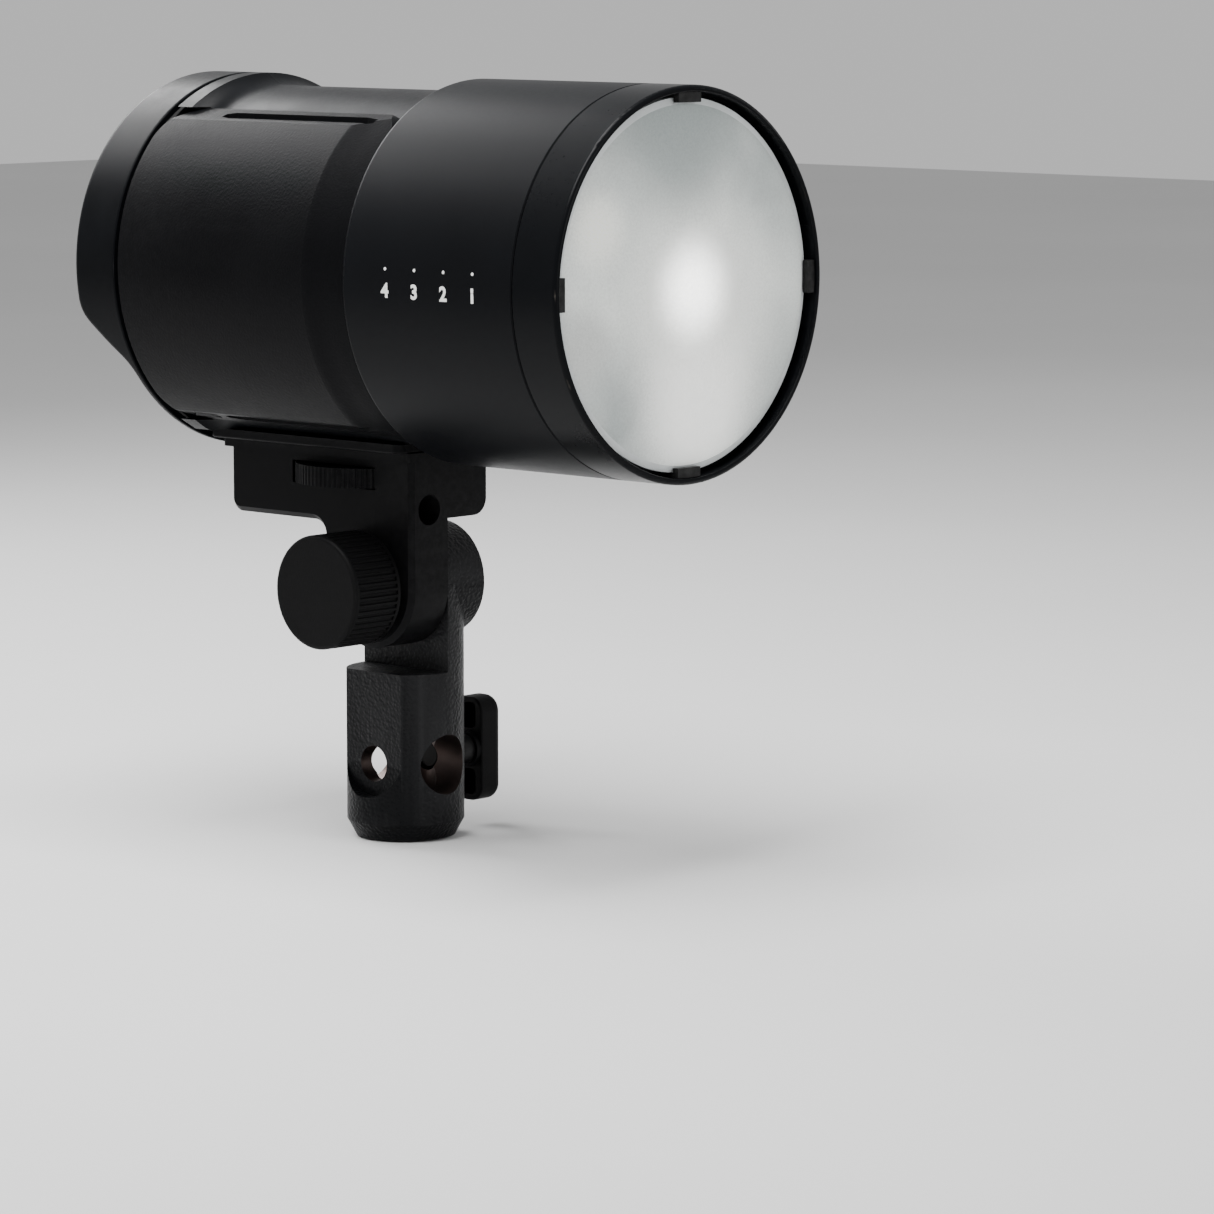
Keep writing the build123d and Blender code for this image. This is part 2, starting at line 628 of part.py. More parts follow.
with BuildPart() as battery_case:
    with BuildSketch(at_y(Y_BATR)) as battery_section:
        Circle(R_BAT)
        Polygon((BAT_X, LEDGE_IN), (-31.8, LEDGE_OUT), (-60, LEDGE_OUT - 7), (-60, 7 - LEDGE_OUT), (-31.8, -LEDGE_OUT), (BAT_X, -LEDGE_IN), align=None, mode=Mode.INTERSECT)
        fillet([v for v in battery_section.vertices() if v.X < -30], 0.9)
    extrude(amount=Y_BATR - Y_BATF)
    # rounded corners in side view
    with BuildSketch(at_x(-60)):
        with Locations(((Y_BATR + Y_BATF) / 2, HZ)):
            RectangleRounded(Y_BATR - Y_BATF, 2 * LEDGE_IN + 0.2, 8.0)
    extrude(amount=60, mode=Mode.INTERSECT)
    # front bevel
    with BuildSketch(Plane.YZ):
        with BuildLine():
            Polyline(*rp((Y_BATF, 47.9), (Y_BATF - 3, 47.7), (Y_BATF - 3, 54), (Y_FACE + 1.6, 54), (Y_FACE + 1.6, R_BAT + 0.01)))
            Spline((Y_FACE + 1.6, HZ + R_BAT + 0.01), (Y_FACE - 0.3, HZ + R_BAT - 0.17), (Y_FACE - 2.2, HZ + R_BAT - 0.62), (Y_BATF, HZ + 47.9), tangents=[(-1, 0), (-1, -0.17)])
        make_face()
    revolve(axis=AXIS_HEAD, mode=Mode.SUBTRACT)
    # finger recesses along the upper and lower ledges
    for zs in (1, -1):
        with BuildSketch(Plane.XY.offset(HZ + zs * 38.2)):
            Polygon((-30.6, -17.0), (-30.6, 34.0), (-29.8, 37.0), (-27.8, 37.0), (-26.8, 34.0), (-26.8, -14.0), (-27.8, -19.0), (-29.6, -19.0), align=None)
        extrude(amount=zs * 6, mode=Mode.SUBTRACT)
    add(battery_cavity.part, mode=Mode.SUBTRACT)
    # boss and pocket for the latch button in the lower ledge
    with BuildSketch(Plane.XY.offset(HZ - BAT_Z + 2.0)):
        with Locations((-29.2, 44.6)):
            Rectangle(5.2, 11.0)
    extrude(amount=4.0)
    with BuildSketch(Plane.XY.offset(HZ - BAT_Z - 4)):
        with Locations((-28.6, 44.6)):
            RectangleRounded(3.2, 8.6, 1.2)
    extrude(amount=8.5, mode=Mode.SUBTRACT)
keep(battery_case, "battery_case")

with BuildPart() as battery_base:
    with BuildSketch(at_x(BAT_X - 2.2)):
        with Locations(((Y_BATR - 2.0 + Y_FACE + 0.5) / 2, HZ)):
            Rectangle(Y_BATR - 2.0 - (Y_FACE + 0.5) - 0.2, 2 * BAT_Z - 5.2)
        with Locations((-4, HZ)):
            Rectangle(14.4, 22.4, mode=Mode.SUBTRACT)
    extrude(amount=2.2)
keep(battery_base, "battery_base")

with BuildPart() as battery_terminal:
    with BuildSketch(at_x(BAT_X - 3.6)):
        with Locations((-4, HZ)):
            Rectangle(14, 22)
    extrude(amount=3.4)
    with BuildSketch(at_x(BAT_X - 2.0)):
        with Locations((-4, HZ)):
            with GridLocations(1, 5.0, 1, 4):
                Rectangle(10, 1.9)
    extrude(amount=3, mode=Mode.SUBTRACT)
keep(battery_terminal, "battery_terminal")

with BuildPart() as battery_cells:
    with BuildSketch(at_y(52.5)):
        with Locations((-38.3, 0), (-35.0, 17.2), (-35.0, -17.2)):
            Circle(8.0)
    extrude(amount=65.0)
keep(battery_cells, "battery_cells")

with BuildPart() as battery_board:
    with BuildSketch(Plane.XY.offset(HZ + 29.6)):
        with Locations((-31.5, 20.0)):
            Rectangle(8.0, 52)
    extrude(amount=1.2)
keep(battery_board, "battery_board")

# Latch button and its spring, in the lower ledge.
with BuildPart() as latch_button:
    with BuildSketch(Plane.XY.offset(HZ - BAT_Z - 1.0)):
        with Locations((-28.6, 44.6)):
            RectangleRounded(2.6, 8.0, 1.0)
    extrude(amount=3.0)
keep(latch_button, "latch_button")

with BuildPart() as latch_spring:
    with BuildSketch(Plane.XY.offset(HZ - BAT_Z + 2.0)):
        with Locations((-28.6, 44.6)):
            Circle(1.2)
            Circle(0.7, mode=Mode.SUBTRACT)
    extrude(amount=2.5)
keep(latch_spring, "latch_spring")

# ================================================================ FOOT
with BuildPart() as foot_plate:
    with BuildSketch(Plane.XY.offset(FOOT_Z)):
        with Locations((0, 20.0)):
            RectangleRounded(36, 72, 2.5)
        with Locations((0, WHEEL_Y)):
            Circle(6.05, mode=Mode.SUBTRACT)
        with Locations(*FOOT_SCREWS):
            Circle(1.3, mode=Mode.SUBTRACT)
    extrude(amount=FLAT_Z - FOOT_Z)
    fillet(foot_plate.edges().filter_by(Axis.X).filter_by(lambda e: e.center().Z < FOOT_Z + 0.01), 0.6)
keep(foot_plate, "foot_plate")

# Steel 1/4-20 insert in the foot.
with BuildPart() as tripod_bush:
    with BuildSketch(Plane.XY.offset(FOOT_Z)):
        with Locations((0, WHEEL_Y)):
            Circle(6.0)
            Circle(3.18, mode=Mode.SUBTRACT)
    extrude(amount=8.0)
    with BuildSketch(Plane.XY.offset(FOOT_Z + 8.0)):
        with Locations((0, WHEEL_Y)):
            Circle(6.0)
    extrude(amount=1.2)
keep(tripod_bush, "tripod_bush")

with BuildPart() as foot_screws:
    with BuildSketch(Plane.XY.offset(FOOT_Z + 0.2)):
        with Locations(*FOOT_SCREWS):
            Circle(1.25)
    extrude(amount=6.5)
keep(foot_screws, "foot_screws")

# ================================================================ BRACKET
with BuildPart() as tilt_bracket:
    # ear side, -X half
    with BuildSketch(at_x(-BR_X)):
        with BuildLine():
            Line((BR_Y0, FOOT_Z), (BR_Y0, PIV))
            ThreePointArc((BR_Y0, PIV), (0, PIV - EAR_R), (-BR_Y0, PIV))
            Line((-BR_Y0, PIV), (-BR_Y0, 79.6))
            RadiusArc((-BR_Y0, 79.6), (-BR_Y0 + 4.0, 83.6), 4.0)
            Line((-BR_Y0 + 4.0, 83.6), (BR_Y1 - 3.5, 83.6))
            RadiusArc((BR_Y1 - 3.5, 83.6), (BR_Y1, 87.1), -3.5)
            Line((BR_Y1, 87.1), (BR_Y1, FOOT_Z))
            Line((BR_Y1, FOOT_Z), (BR_Y0, FOOT_Z))
        make_face()
    extrude(amount=BR_X - 0.5)
    # +X half, above the hub
    with BuildSketch(at_x(-0.6)):
        with BuildLine():
            Polyline((BR_Y0, FOOT_Z), (BR_Y0, 85.6), (BR_Y1 - 3.5, 85.6))
            RadiusArc((BR_Y1 - 3.5, 85.6), (BR_Y1, 89.1), -3.5)
            Polyline((BR_Y1, 89.1), (BR_Y1, FOOT_Z), (BR_Y0, FOOT_Z))
        make_face()
    extrude(amount=BR_X + 0.6)
    # rounded lower edge on +X
    low_edge = [e for e in tilt_bracket.edges().filter_by(Axis.Y).filter_by(GeomType.LINE) if abs(e.center().X - BR_X) < 0.01 and abs(e.center().Z - 85.6) < 0.01]
    fillet(low_edge, 4.5)
    # chamfer down the front edge of the ear and round its end
    ear_edges = [e for e in tilt_bracket.edges() if abs((e @ 0.5).X + BR_X) < 0.01
                 and ((abs((e @ 0.5).Y - BR_Y0) < 0.01 and (e @ 0.5).Z < FOOT_Z - 1) or abs((e @ 0.5).Z - (PIV - EAR_R)) < 0.01)]
    chamfer(ear_edges, 1.4)
    # flange under the foot plate
    with BuildSketch(Plane.XY.offset(FOOT_Z)):
        with Locations((0, (BR_Y0 + BR_Y1 + 1.6) / 2)):
            RectangleRounded(2 * BR_X + 2.6, BR_Y1 + 1.6 - BR_Y0 - 0.0, 1.6)
    extrude(amount=-2.4)
    # round slot for the thumbwheel
    with BuildSketch(Plane.XY.offset(93.0)):
        with Locations((0, WHEEL_Y)):
            Circle(WHEEL_R + 0.7)
    extrude(amount=6.0, mode=Mode.SUBTRACT)
    # hole for the camera screw
    with BuildSketch(Plane.XY.offset(FOOT_Z + 1)):
        with Locations((0, WHEEL_Y)):
            Circle(3.45)
    extrude(amount=-6, mode=Mode.SUBTRACT)
    # umbrella shaft hole, along the optical axis
    with BuildSketch(Plane(origin=(-7.4, BR_Y0 - 5, 88.3), x_dir=(1, 0, 0), z_dir=(0, 1, 0))):
        Circle(4.0)
    extrude(amount=100, mode=Mode.SUBTRACT)
    # lightening pocket from below
    with BuildSketch(Plane.XY.offset(80)):
        with Locations((4.2, 35.0)):
            RectangleRounded(13, 26, 2)
    extrude(amount=10.5, mode=Mode.SUBTRACT)
    # pivot hole
    with BuildSketch(at_x(-20)):
        with Locations((0, PIV)):
            Circle(4.08)
    extrude(amount=30, mode=Mode.SUBTRACT)
keep(tilt_bracket, "tilt_bracket")

with BuildPart() as thumbwheel:
    with BuildSketch(Plane.XY.offset(93.4)):
        with Locations((0, WHEEL_Y)):
            Circle(WHEEL_R)
            with PolarLocations(WHEEL_R + 0.18, 84):
                Circle(0.5, mode=Mode.SUBTRACT)
            Circle(3.16, mode=Mode.SUBTRACT)
    extrude(amount=5.2)
keep(thumbwheel, "thumbwheel")

with BuildPart() as camera_screw:
    with BuildSketch(Plane.XY.offset(93.4)):
        with Locations((0, WHEEL_Y)):
            Circle(3.1)
    extrude(amount=14.6)
    fillet(camera_screw.edges().filter_by(GeomType.CIRCLE).sort_by(Axis.Z)[-1], 0.6)
keep(camera_screw, "camera_screw")

# ================================================================ STAND SOCKET
with BuildPart() as stand_socket:
    with BuildSketch(Plane.XY):
        Circle(SOCK_R)
    extrude(amount=PIV)
    # above the ledge only the +X half carries on, as a tongue with a round hub
    with BuildSketch(Plane.XY.offset(LEDGE_Z)):
        with Locations((-30 + 0.3, 0)):
            Rectangle(60, 60)
    extrude(amount=60, mode=Mode.SUBTRACT)
    with BuildSketch(at_x(0.3)):
        with Locations((0, PIV)):
            Circle(HUB_R)
    extrude(amount=14.3)
    # tapered lower end
    with BuildSketch(Plane.XZ):
        Polygon((13.2, -0.1), (13.2, 0), (SOCK_R + 0.001, 4.4), (20, 4.4), (20, -0.1), align=None)
    revolve(axis=Axis.Z, mode=Mode.SUBTRACT)
    # flat on -X with a round lower end
    with BuildSketch(at_x(-20)):
        with Locations((0, 21.6 + 20)):
            Rectangle(21.6, 40)
        with Locations((0, 21.6)):
            Circle(10.3)
    extrude(amount=20 - 11.9, mode=Mode.SUBTRACT)
    # vertical bore
    with BuildSketch(Plane.XY):
        Circle(BORE_R)
    extrude(amount=BORE_L, mode=Mode.SUBTRACT)
    # cross bore along Y
    with BuildSketch(Plane(origin=(0, -30, CROSS_Z), x_dir=(1, 0, 0), z_dir=(0, 1, 0))):
        Circle(CROSS_R)
    extrude(amount=60, mode=Mode.SUBTRACT)
    # side hole in the flat
    with BuildSketch(at_x(-20)):
        with Locations((0, CROSS_Z)):
            Circle(4.8)
    extrude(amount=18, mode=Mode.SUBTRACT)
    # tapped hole for the lock screw
    with BuildSketch(at_x(2)):
        with Locations((0, CROSS_Z)):
            Circle(4.08)
    extrude(amount=20, mode=Mode.SUBTRACT)
    # tilt bolt hole and head pocket
    with BuildSketch(at_x(-1)):
        with Locations((0, PIV)):
            Circle(4.05)
    extrude(amount=20, mode=Mode.SUBTRACT)
    with BuildSketch(at_x(8.5)):
        with Locations((0, PIV)):
            Circle(8.2)
    extrude(amount=10, mode=Mode.SUBTRACT)
keep(stand_socket, "stand_socket")

with BuildPart() as friction_disc:
    with BuildSketch(at_x(-0.2)):
        with Locations((0, PIV)):
            Circle(13.0)
            Circle(4.1, mode=Mode.SUBTRACT)
    extrude(amount=0.5)
keep(friction_disc, "friction_disc")

with BuildPart() as tilt_bolt:
    with BuildSketch(at_x(-30.5)):
        with Locations((0, PIV)):
            Circle(4.0)
    extrude(amount=39.0)
    with BuildSketch(at_x(8.5)):
        with Locations((0, PIV)):
            RegularPolygon(7.5, 6)
    extrude(amount=5.3)
keep(tilt_bolt, "tilt_bolt")

with BuildPart() as knob_washer:
    with BuildSketch(at_x(-16.2)):
        with Locations((0, PIV)):
            Circle(11.0)
            Circle(4.3, mode=Mode.SUBTRACT)
    extrude(amount=2.2)
keep(knob_washer, "knob_washer")

with BuildPart() as tilt_knob:
    with BuildSketch(at_x(KNOB_X1)):
        with Locations((0, PIV)):
            Circle(KNOB_R)
    extrude(amount=KNOB_X0 - KNOB_X1)
    fillet(tilt_knob.edges().filter_by(GeomType.CIRCLE).sort_by(Axis.X)[0], 1.1)
    with BuildSketch(at_x(KNOB_X1 + 1.5)):
        with Locations((0, PIV)):
            with PolarLocations(KNOB_R + 0.12, 52):
                Circle(0.62)
    extrude(amount=KNOB_X0 - KNOB_X1 - 1.5 - 1.0, mode=Mode.SUBTRACT)
    with BuildSketch(at_x(-31.0)):
        with Locations((0, PIV)):
            Circle(7.0)
    extrude(amount=20, mode=Mode.SUBTRACT)
keep(tilt_knob, "tilt_knob")

with BuildPart() as knob_insert:
    with BuildSketch(at_x(-31.0)):
        with Locations((0, PIV)):
            Circle(7.0)
            Circle(4.08, mode=Mode.SUBTRACT)
    extrude(amount=14.0)
keep(knob_insert, "knob_insert")

# ================================================================ LOCK SCREW
with BuildPart() as lock_handle:
    with BuildSketch(at_x(23.8)):
        with Locations((0, CROSS_Z)):
            RectangleRounded(10.4, 28.4, 4.4)
    extrude(amount=8.0)
    outer = [e for e in lock_handle.edges() if abs((e @ 0.5).X - 31.8) < 0.01]
    fillet(outer, 2.6)
    inner = [e for e in lock_handle.edges() if abs((e @ 0.5).X - 23.8) < 0.01]
    fillet(inner, 0.5)
    # pockets either side of the centre on the inner face
    with BuildSketch(at_x(23.8)):
        with Locations((0, CROSS_Z + 9.0), (0, CROSS_Z - 9.0)):
            RectangleRounded(5.6, 7.0, 1.6)
    extrude(amount=4.0, mode=Mode.SUBTRACT)
    with BuildSketch(at_x(22.4)):
        with Locations((0, CROSS_Z)):
            Circle(4.9)
    extrude(amount=2.0)
    with BuildSketch(at_x(22)):
        with Locations((0, CROSS_Z)):
            Circle(4.0)
    extrude(amount=6.0, mode=Mode.SUBTRACT)
keep(lock_handle, "lock_handle")

with BuildPart() as lock_screw:
    with BuildSketch(at_x(8.6)):
        with Locations((0, CROSS_Z)):
            Circle(4.0)
    extrude(amount=28.0 - 8.6)
    tip = [e for e in lock_screw.edges().filter_by(GeomType.CIRCLE) if e.center().X < 9]
    chamfer(tip, 0.9)
keep(lock_screw, "lock_screw")

total = sum(p.volume for p in made.values())
print(len(made), "parts, total volume cm3", round(total / 1000, 1))
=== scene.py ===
import json
import math

import bmesh
import bpy
from mathutils import Matrix, Vector


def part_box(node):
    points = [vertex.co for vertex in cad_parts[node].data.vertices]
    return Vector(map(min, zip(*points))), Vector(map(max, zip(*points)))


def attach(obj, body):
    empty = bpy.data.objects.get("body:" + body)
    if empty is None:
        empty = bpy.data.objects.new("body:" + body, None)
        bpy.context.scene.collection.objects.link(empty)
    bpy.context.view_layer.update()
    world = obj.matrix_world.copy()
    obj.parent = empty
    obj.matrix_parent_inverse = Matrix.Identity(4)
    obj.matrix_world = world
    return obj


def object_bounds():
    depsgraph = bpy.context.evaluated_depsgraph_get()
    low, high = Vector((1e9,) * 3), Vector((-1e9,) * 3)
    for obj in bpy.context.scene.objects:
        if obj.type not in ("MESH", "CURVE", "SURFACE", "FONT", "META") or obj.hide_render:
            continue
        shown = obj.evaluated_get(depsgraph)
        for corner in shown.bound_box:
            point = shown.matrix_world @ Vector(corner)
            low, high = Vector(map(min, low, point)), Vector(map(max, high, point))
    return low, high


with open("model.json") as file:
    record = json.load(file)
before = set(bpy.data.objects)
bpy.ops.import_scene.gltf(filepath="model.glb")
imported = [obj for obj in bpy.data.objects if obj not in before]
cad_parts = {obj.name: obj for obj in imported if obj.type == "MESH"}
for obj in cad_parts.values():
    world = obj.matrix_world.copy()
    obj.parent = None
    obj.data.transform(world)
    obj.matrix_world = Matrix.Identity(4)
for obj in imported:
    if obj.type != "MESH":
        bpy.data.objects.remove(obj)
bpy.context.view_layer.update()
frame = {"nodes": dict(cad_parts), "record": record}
NODES = frame["nodes"]

HZ = 0.1505            # optical axis
PIV = 0.0675           # tilt axis
R_BODY = 0.050
Y_CAP1 = 0.0735
Y_LOW = 0.0606


# ---------------------------------------------------------------- materials
def new_mat(name):
    m = bpy.data.materials.new(name)
    m.use_nodes = True
    nt = m.node_tree
    nt.nodes.clear()
    out = nt.nodes.new("ShaderNodeOutputMaterial")
    b = nt.nodes.new("ShaderNodeBsdfPrincipled")
    nt.links.new(b.outputs["BSDF"], out.inputs["Surface"])
    return m, nt, b


def coords(nt):
    return nt.nodes.new("ShaderNodeTexCoord").outputs["Object"]


def noise(nt, vec, scale, detail=4.0, rough=0.55, distort=0.0):
    n = nt.nodes.new("ShaderNodeTexNoise")
    n.inputs["Scale"].default_value = scale
    n.inputs["Detail"].default_value = detail
    n.inputs["Roughness"].default_value = rough
    n.inputs["Distortion"].default_value = distort
    nt.links.new(vec, n.inputs["Vector"])
    return n.outputs["Fac"]


def ramp(nt, fac, stops):
    r = nt.nodes.new("ShaderNodeValToRGB")
    els = r.color_ramp.elements
    while len(els) > len(stops):
        els.remove(els[-1])
    while len(els) < len(stops):
        els.new(0.5)
    for e, (p, c) in zip(els, stops):
        e.position = p
        e.color = (c[0], c[1], c[2], 1.0) if hasattr(c, "__len__") else (c, c, c, 1.0)
    nt.links.new(fac, r.inputs["Fac"])
    return r.outputs["Color"]


def map_range(nt, v, a, b, c, d):
    n = nt.nodes.new("ShaderNodeMapRange")
    n.inputs["From Min"].default_value = a
    n.inputs["From Max"].default_value = b
    n.inputs["To Min"].default_value = c
    n.inputs["To Max"].default_value = d
    nt.links.new(v, n.inputs["Value"])
    return n.outputs["Result"]


def bump(nt, b, height, strength, dist, prev=None):
    n = nt.nodes.new("ShaderNodeBump")
    n.inputs["Strength"].default_value = strength
    n.inputs["Distance"].default_value = dist
    nt.links.new(height, n.inputs["Height"])
    if prev is not None:
        nt.links.new(prev, n.inputs["Normal"])
    nt.links.new(n.outputs["Normal"], b.inputs["Normal"])
    return n.outputs["Normal"]


def mix_col(nt, fac, a, b, mode="MIX"):
    n = nt.nodes.new("ShaderNodeMix")
    n.data_type = "RGBA"
    n.blend_type = mode
    if isinstance(fac, float):
        n.inputs[0].default_value = fac
    else:
        nt.links.new(fac, n.inputs[0])
    for sock, v in ((n.inputs[6], a), (n.inputs[7], b)):
        if hasattr(v, "is_output"):
            nt.links.new(v, sock)
        else:
            sock.default_value = (v[0], v[1], v[2], 1.0)
    return n.outputs[2]


def edge_wear(nt, lo=0.52, hi=0.60):
    g = nt.nodes.new("ShaderNodeNewGeometry")
    return map_range(nt, g.outputs["Pointiness"], lo, hi, 0.0, 1.0)


def surface(name, base, rough, metal=0.0, grain=None, var=0.25, rough_var=0.06, wear=None, wear_col=(0.09, 0.09, 0.092),
            spec=0.5, coat=0.0, coat_rough=0.2, scale=60.0):
    """A moulded, painted or metal surface: mottled colour, uneven roughness, fine grain and rubbed edges."""
    m, nt, b = new_mat(name)
    v = coords(nt)
    big = noise(nt, v, scale, 5.0, 0.6)
    dark = tuple(c * (1 - var) for c in base)
    light = tuple(min(1.0, c * (1 + var)) for c in base)
    col = ramp(nt, big, [(0.3, dark), (0.7, light)])
    if wear:
        w = edge_wear(nt, *wear)
        brk = noise(nt, v, 420.0, 3.0, 0.7)
        mul = nt.nodes.new("ShaderNodeMath")
        mul.operation = "MULTIPLY"
        nt.links.new(w, mul.inputs[0])
        nt.links.new(map_range(nt, brk, 0.35, 0.65, 0.15, 1.0), mul.inputs[1])
        col = mix_col(nt, mul.outputs[0], col, wear_col)
    nt.links.new(col, b.inputs["Base Color"])
    fine = noise(nt, v, 900.0, 3.0, 0.6)
    add = nt.nodes.new("ShaderNodeMath")
    add.operation = "ADD"
    nt.links.new(map_range(nt, big, 0.3, 0.7, rough - rough_var, rough + rough_var), add.inputs[0])
    nt.links.new(map_range(nt, fine, 0.3, 0.7, -rough_var / 2, rough_var / 2), add.inputs[1])
    nt.links.new(add.outputs[0], b.inputs["Roughness"])
    b.inputs["Metallic"].default_value = metal
    b.inputs["Specular IOR Level"].default_value = spec
    if coat:
        b.inputs["Coat Weight"].default_value = coat
        b.inputs["Coat Roughness"].default_value = coat_rough
    if grain:
        gs, gstr, gdist = grain
        g = noise(nt, v, gs, 2.0, 0.5)
        bump(nt, b, g, gstr, gdist)
    return m


def hammered(name, base, rough):
    """Thick enamel with an orange-peel skin."""
    m, nt, b = new_mat(name)
    v = coords(nt)
    vor = nt.nodes.new("ShaderNodeTexVoronoi")
    vor.feature = "SMOOTH_F1"
    vor.inputs["Scale"].default_value = 1150.0
    vor.inputs["Smoothness"].default_value = 0.9
    vor.inputs["Randomness"].default_value = 1.0
    nt.links.new(v, vor.inputs["Vector"])
    n2 = noise(nt, v, 700.0, 3.0, 0.6, 0.6)
    add = nt.nodes.new("ShaderNodeMath")
    add.operation = "MULTIPLY_ADD"
    nt.links.new(n2, add.inputs[0])
    add.inputs[1].default_value = 0.8
    nt.links.new(vor.outputs["Distance"], add.inputs[2])
    bump(nt, b, add.outputs[0], 0.55, 0.00045)
    big = noise(nt, v, 90.0)
    col = ramp(nt, big, [(0.3, tuple(c * 0.8 for c in base)), (0.7, tuple(c * 1.25 for c in base))])
    w = edge_wear(nt, 0.56, 0.68)
    col = mix_col(nt, w, col, (0.022, 0.022, 0.023))
    b.inputs["Specular IOR Level"].default_value = 0.08
    nt.links.new(col, b.inputs["Base Color"])
    nt.links.new(map_range(nt, big, 0.3, 0.7, rough - 0.05, rough + 0.07), b.inputs["Roughness"])
    return m


def frosted(name):
    """Sand-blasted borosilicate dome: pale and grainy, with a painted glow over the lamp chamber, painted light lower
    down and towards -X, painted shade at the top, and emission from these painted colours.
    """
    m, nt, b = new_mat(name)
    v = coords(nt)
    sep = nt.nodes.new("ShaderNodeSeparateXYZ")
    nt.links.new(v, sep.inputs[0])

    def spot(cx, cz, r0, r1):
        """1 at (cx, cz), falling to 0 at r1."""
        sx = nt.nodes.new("ShaderNodeMath"); sx.operation = "SUBTRACT"
        nt.links.new(sep.outputs["X"], sx.inputs[0]); sx.inputs[1].default_value = cx
        sz = nt.nodes.new("ShaderNodeMath"); sz.operation = "SUBTRACT"
        nt.links.new(sep.outputs["Z"], sz.inputs[0]); sz.inputs[1].default_value = cz
        comb = nt.nodes.new("ShaderNodeCombineXYZ")
        nt.links.new(sx.outputs[0], comb.inputs["X"]); nt.links.new(sz.outputs[0], comb.inputs["Y"])
        ln = nt.nodes.new("ShaderNodeVectorMath"); ln.operation = "LENGTH"
        nt.links.new(comb.outputs[0], ln.inputs[0])
        mr = nt.nodes.new("ShaderNodeMapRange"); mr.interpolation_type = "SMOOTHERSTEP"
        mr.inputs["From Min"].default_value = r1; mr.inputs["From Max"].default_value = r0
        nt.links.new(ln.outputs["Value"], mr.inputs["Value"])
        return mr.outputs["Result"]

    cloud = noise(nt, v, 26.0, 2.0, 0.45, 0.3)
    grain = noise(nt, v, 1500.0, 4.0, 0.75)
    base = ramp(nt, cloud, [(0.30, (0.22, 0.24, 0.236)), (0.50, (0.33, 0.35, 0.34)), (0.72, (0.46, 0.48, 0.46))])
    # Painted light: the bright spots round the optical axis are a painted glow, the pale spots lower down and towards
    # -X are painted light, the mid-grey spot at the -X edge is painted shading, and the darker spot near the top is
    # painted shade.
    painted_glow_halo = spot(0.004, HZ - 0.008, 0.002, 0.043)
    painted_glow_core = spot(0.001, HZ, 0.0005, 0.0078)
    glow = spot(0.001, HZ - 0.001, 0.001, 0.019)
    low = spot(0.004, HZ - 0.030, 0.002, 0.030)
    painted_light_side = spot(-0.033, HZ + 0.015, 0.001, 0.015)
    painted_shade_top = spot(-0.004, HZ + 0.046, 0.006, 0.040)
    painted_shading_patch = spot(-0.038, HZ - 0.014, 0.002, 0.015)
    col = mix_col(nt, painted_glow_halo, base, (0.56, 0.57, 0.545))
    col = mix_col(nt, low, col, (0.72, 0.725, 0.70))
    col = mix_col(nt, painted_light_side, col, (0.55, 0.56, 0.52))
    col = mix_col(nt, painted_shade_top, col, (0.17, 0.19, 0.187))
    col = mix_col(nt, painted_shading_patch, col, (0.32, 0.33, 0.32))
    col = mix_col(nt, glow, col, (0.93, 0.935, 0.91))
    col = mix_col(nt, painted_glow_core, col, (1.0, 1.0, 0.97))
    speck = ramp(nt, grain, [(0.36, 0.86), (0.62, 1.0)])
    col = mix_col(nt, 1.0, col, speck, "MULTIPLY")
    nt.links.new(col, b.inputs["Base Color"])
    nt.links.new(map_range(nt, grain, 0.3, 0.7, 0.42, 0.62), b.inputs["Roughness"])
    # The glass emits its painted colours, strongest in the painted glow at the centre, though it is no lamp.
    nt.links.new(col, b.inputs["Emission Color"])
    nt.links.new(map_range(nt, glow, 0.0, 1.0, 0.95, 3.0), b.inputs["Emission Strength"])
    b.inputs["Specular IOR Level"].default_value = 0.45
    bump(nt, b, grain, 0.25, 0.0002)
    return m


def glass(name, col, rough=0.03, trans=1.0):
    m, nt, b = new_mat(name)
    v = coords(nt)
    n = noise(nt, v, 120.0)
    nt.links.new(ramp(nt, n, [(0.3, tuple(c * 0.94 for c in col)), (0.7, col)]), b.inputs["Base Color"])
    nt.links.new(map_range(nt, n, 0.3, 0.7, rough, rough + 0.03), b.inputs["Roughness"])
    b.inputs["Transmission Weight"].default_value = trans
    b.inputs["IOR"].default_value = 1.46
    return m


def turned_metal(name, base, rough, axis=1):
    """Bare machined metal with fine turning marks."""
    m, nt, b = new_mat(name)
    v = coords(nt)
    mp = nt.nodes.new("ShaderNodeMapping")
    mp.inputs["Scale"].default_value = [(1, 14, 14), (14, 1, 14), (14, 14, 1)][axis]
    nt.links.new(v, mp.inputs["Vector"])
    s = noise(nt, mp.outputs["Vector"], 140.0, 4.0, 0.7)
    big = noise(nt, v, 80.0)
    nt.links.new(ramp(nt, big, [(0.3, tuple(c * 0.82 for c in base)), (0.7, base)]), b.inputs["Base Color"])
    nt.links.new(map_range(nt, s, 0.3, 0.7, rough - 0.08, rough + 0.12), b.inputs["Roughness"])
    b.inputs["Metallic"].default_value = 1.0
    bump(nt, b, s, 0.12, 0.0001)
    return m


